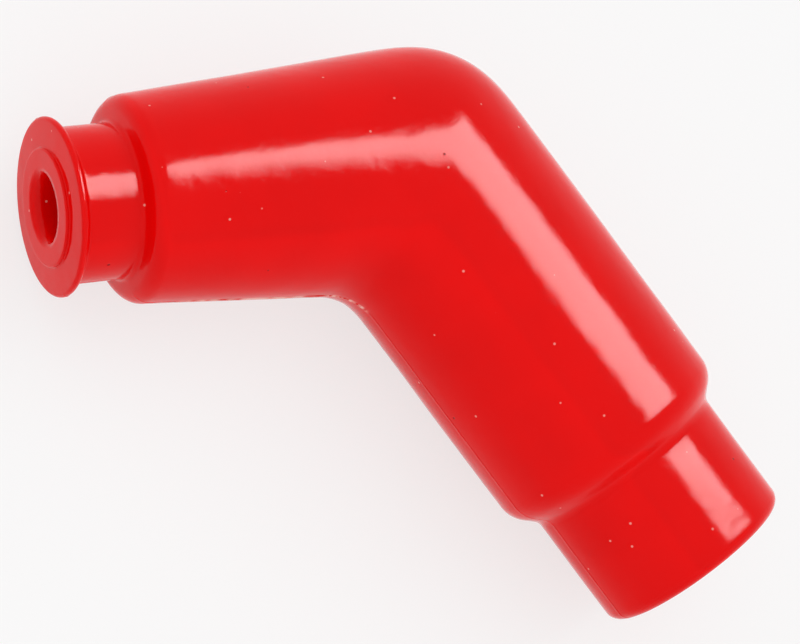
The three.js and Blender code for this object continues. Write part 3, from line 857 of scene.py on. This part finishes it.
def turned_metal(name, axis, bright, dull, roughness):
    """Metal with fine rings from its turning about an axis, and a little tarnish."""
    finish = Finish(name, Metallic=1.0)
    direction = tuple(CAP.to_3x3().normalized() @ Vector(axis))
    along = finish.add("VectorMath", {"operation": "DOT_PRODUCT"}, values=(finish.where, direction))
    scale = 1 / (TURNING_PITCH * MM)
    lines = finish.add("TexNoise", {"noise_dimensions": "1D"}, Scale=scale, Detail=2.0)
    finish.put(lines.inputs["W"], along.outputs["Value"])
    rings = lines.outputs["Fac"]
    tarnish = finish.ramp(finish.noise(TARNISH_SIZE * MM, 4), *TARNISH_ENDS)
    smooth = roughness - TURNING_SMOOTHER
    rough = roughness + TURNING_ROUGHER
    finish.set(
        Base_Color=finish.mix(tarnish, bright, dull),
        Roughness=finish.ramp(rings, *TURNING_ENDS, smooth, rough),
        Normal=finish.bump(rings, TURNING_HEIGHT * MM),
    )
    return finish.material


def ceramic():
    """Fired, unglazed ceramic with a fine speckle."""
    finish = Finish("fired_ceramic", IOR=CERAMIC_IOR)
    grain = finish.noise(CERAMIC_GRAIN * MM, 3)
    cream = finish.mix(finish.ramp(grain, *CERAMIC_SHADE_ENDS), CERAMIC_CREAM, CERAMIC_SHADE)
    dirt = finish.dots(DIRT_SPACING * MM, DIRT_RADIUS * MM)
    finish.set(
        Base_Color=finish.mix(dirt, cream, CERAMIC_DIRT),
        Roughness=finish.ramp(grain, *CERAMIC_ROUGHNESS_ENDS, *CERAMIC_ROUGHNESS),
        Normal=finish.bump(grain, CERAMIC_GRAIN_HEIGHT * MM),
    )
    return finish.material


def refinish(node, material):
    """Give a node that keeps the frame's own shape a better material."""
    for slot in frame["nodes"][node].material_slots:
        slot.material = material


def camera():
    """The photograph's camera, found by fitting the cap's outline."""
    data = bpy.data.cameras.new("camera")
    data.sensor_width = SENSOR_WIDTH
    data.lens = FOCAL_PIXELS / PHOTO_WIDTH * SENSOR_WIDTH
    data.clip_start = CAMERA_NEAR
    data.clip_end = CAMERA_FAR
    x, y, z = CAMERA_TURNS
    turned = Matrix.Rotation(x, 3, "X") @ Matrix.Rotation(y, 3, "Y") @ Matrix.Rotation(z, 3, "Z")
    back = turned.transposed()
    place = back @ Vector((-CAMERA_OFFSET[0], -CAMERA_OFFSET[1], CAMERA_DISTANCE))
    rotation = CAP.to_3x3().normalized() @ back
    view = bpy.data.objects.new("camera", data)
    view.matrix_world = Matrix.Translation(CAP @ place) @ rotation.to_4x4()
    bpy.context.scene.collection.objects.link(view)
    bpy.context.scene.camera = view


def area_lamp(name, width, height, radiance):
    """A rectangular lamp above and behind the cap that looks at it. Its width runs level."""
    data = bpy.data.lights.new(name, "AREA")
    data.shape = "RECTANGLE"
    data.size = width
    data.size_y = height
    data.energy = radiance * math.pi * width * height
    towards = Vector(LAMP_DIRECTION).normalized()
    side = Vector((0, 0, 1)).cross(towards).normalized()
    rotation = Matrix((side, towards.cross(side), towards)).transposed()
    lamp = bpy.data.objects.new(name, data)
    place = Vector(LAMP_AIM) + towards * LAMP_DISTANCE
    lamp.matrix_world = Matrix.Translation(place) @ rotation.to_4x4()
    bpy.context.scene.collection.objects.link(lamp)
    return lamp


def fade_lamp(data, plateau):
    """Let a lamp grow dim towards its edges, as a softbox with one bulb does."""
    half = 0.5  # the places on a lamp run from 0 to 1 each way
    data.use_nodes = True
    nodes = data.node_tree.nodes
    links = data.node_tree.links
    emission = nodes["Emission"]
    spot = nodes.new("ShaderNodeNewGeometry")
    split = nodes.new("ShaderNodeSeparateXYZ")
    links.new(spot.outputs["Parametric"], split.inputs[0])
    product = nodes.new("ShaderNodeMath")
    product.operation = "MULTIPLY"
    for axis in range(2):
        middle = nodes.new("ShaderNodeMath")
        middle.operation = "SUBTRACT"
        middle.inputs[1].default_value = half
        away = nodes.new("ShaderNodeMath")
        away.operation = "ABSOLUTE"
        fade = nodes.new("ShaderNodeMapRange")
        fade.interpolation_type = "SMOOTHSTEP"
        fade.inputs["From Min"].default_value = plateau[axis]
        fade.inputs["From Max"].default_value = half
        fade.inputs["To Min"].default_value = 1
        fade.inputs["To Max"].default_value = 0
        links.new(split.outputs[axis], middle.inputs[0])
        links.new(middle.outputs[0], away.inputs[0])
        links.new(away.outputs[0], fade.inputs["Value"])
        links.new(fade.outputs[0], product.inputs[axis])
    links.new(product.outputs[0], emission.inputs["Strength"])


def background_rays(tree):
    """1 for the rays that see the white background: the camera's, and those of gloss and glass."""
    path = tree.nodes.new("ShaderNodeLightPath")
    seen = path.outputs["Is Camera Ray"]
    for ray in ("Is Glossy Ray", "Is Transmission Ray"):
        either = tree.nodes.new("ShaderNodeMath")
        either.operation = "MAXIMUM"
        tree.links.new(seen, either.inputs[0])
        tree.links.new(path.outputs[ray], either.inputs[1])
        seen = either.outputs[0]
    return seen


def floor():
    """White paper, brightened in part to the white of the background, so that it keeps the shadow."""
    bpy.ops.mesh.primitive_plane_add(size=FLOOR_SIZE, location=(0, 0, 0))
    plane = bpy.context.object
    plane.name = "floor"
    material = bpy.data.materials.new("floor")
    material.use_nodes = True
    nodes = material.node_tree.nodes
    links = material.node_tree.links
    nodes.clear()
    out = nodes.new("ShaderNodeOutputMaterial")
    paper = nodes.new("ShaderNodeBsdfDiffuse")
    paper.inputs["Color"].default_value = PAPER
    white = nodes.new("ShaderNodeEmission")
    white.inputs["Strength"].default_value = 1
    share = nodes.new("ShaderNodeMath")
    share.operation = "MULTIPLY"
    share.inputs[1].default_value = FLOOR_WHITE_SHARE
    seen = nodes.new("ShaderNodeMixShader")
    links.new(background_rays(material.node_tree), share.inputs[0])
    links.new(share.outputs[0], seen.inputs["Fac"])
    links.new(paper.outputs[0], seen.inputs[1])
    links.new(white.outputs[0], seen.inputs[2])
    links.new(seen.outputs[0], out.inputs["Surface"])
    plane.data.materials.append(material)


def world():
    """A plain white room that lights the cap evenly."""
    data = bpy.data.worlds.new("studio")
    data.use_nodes = True
    nodes = data.node_tree.nodes
    links = data.node_tree.links
    room = nodes["Background"]
    room.inputs["Strength"].default_value = ROOM_LIGHT
    white = nodes.new("ShaderNodeBackground")
    white.inputs["Strength"].default_value = 1
    for background in (room, white):
        background.inputs["Color"].default_value = WHITE
    seen = nodes.new("ShaderNodeMixShader")
    links.new(background_rays(data.node_tree), seen.inputs["Fac"])
    links.new(room.outputs[0], seen.inputs[1])
    links.new(white.outputs[0], seen.inputs[2])
    links.new(seen.outputs[0], nodes["World Output"].inputs["Surface"])
    data.cycles.sampling_method = "NONE"
    bpy.context.scene.world = data


def studio():
    """Floor, room and lamps. The softbox shows in the gloss alone, and the key lights the rest."""
    floor()
    world()
    softbox = area_lamp("softbox", SOFTBOX_WIDTH, SOFTBOX_HEIGHT, SOFTBOX_RADIANCE)
    fade_lamp(softbox.data, SOFTBOX_PLATEAU)
    softbox.visible_diffuse = False
    key = area_lamp("key_light", KEY_WIDTH, KEY_HEIGHT, KEY_RADIANCE)
    key.visible_glossy = False


bpy.context.scene.view_settings.view_transform = "Standard"
camera()
boot(silicone())
plug_brass = turned_metal("turned_brass", PLUG_AXIS, BRIGHT_BRASS, DULL_BRASS, BRASS_ROUGHNESS)
cable_brass = turned_metal(
    "threaded_brass", CABLE_AXIS, BRIGHT_BRASS, DULL_BRASS, THREADED_BRASS_ROUGHNESS
)
steel = turned_metal("plated_steel", PLUG_AXIS, BRIGHT_STEEL, DULL_STEEL, STEEL_ROUGHNESS)
plug_terminal(plug_brass)
terminal_clip(steel)
lead_screw(cable_brass)
refinish("elbow_contact", cable_brass)
for plated in ("contact_spring", "resistor_cap_rear", "resistor_cap_front"):
    refinish(plated, steel)
refinish("resistor_rod", ceramic())
studio()
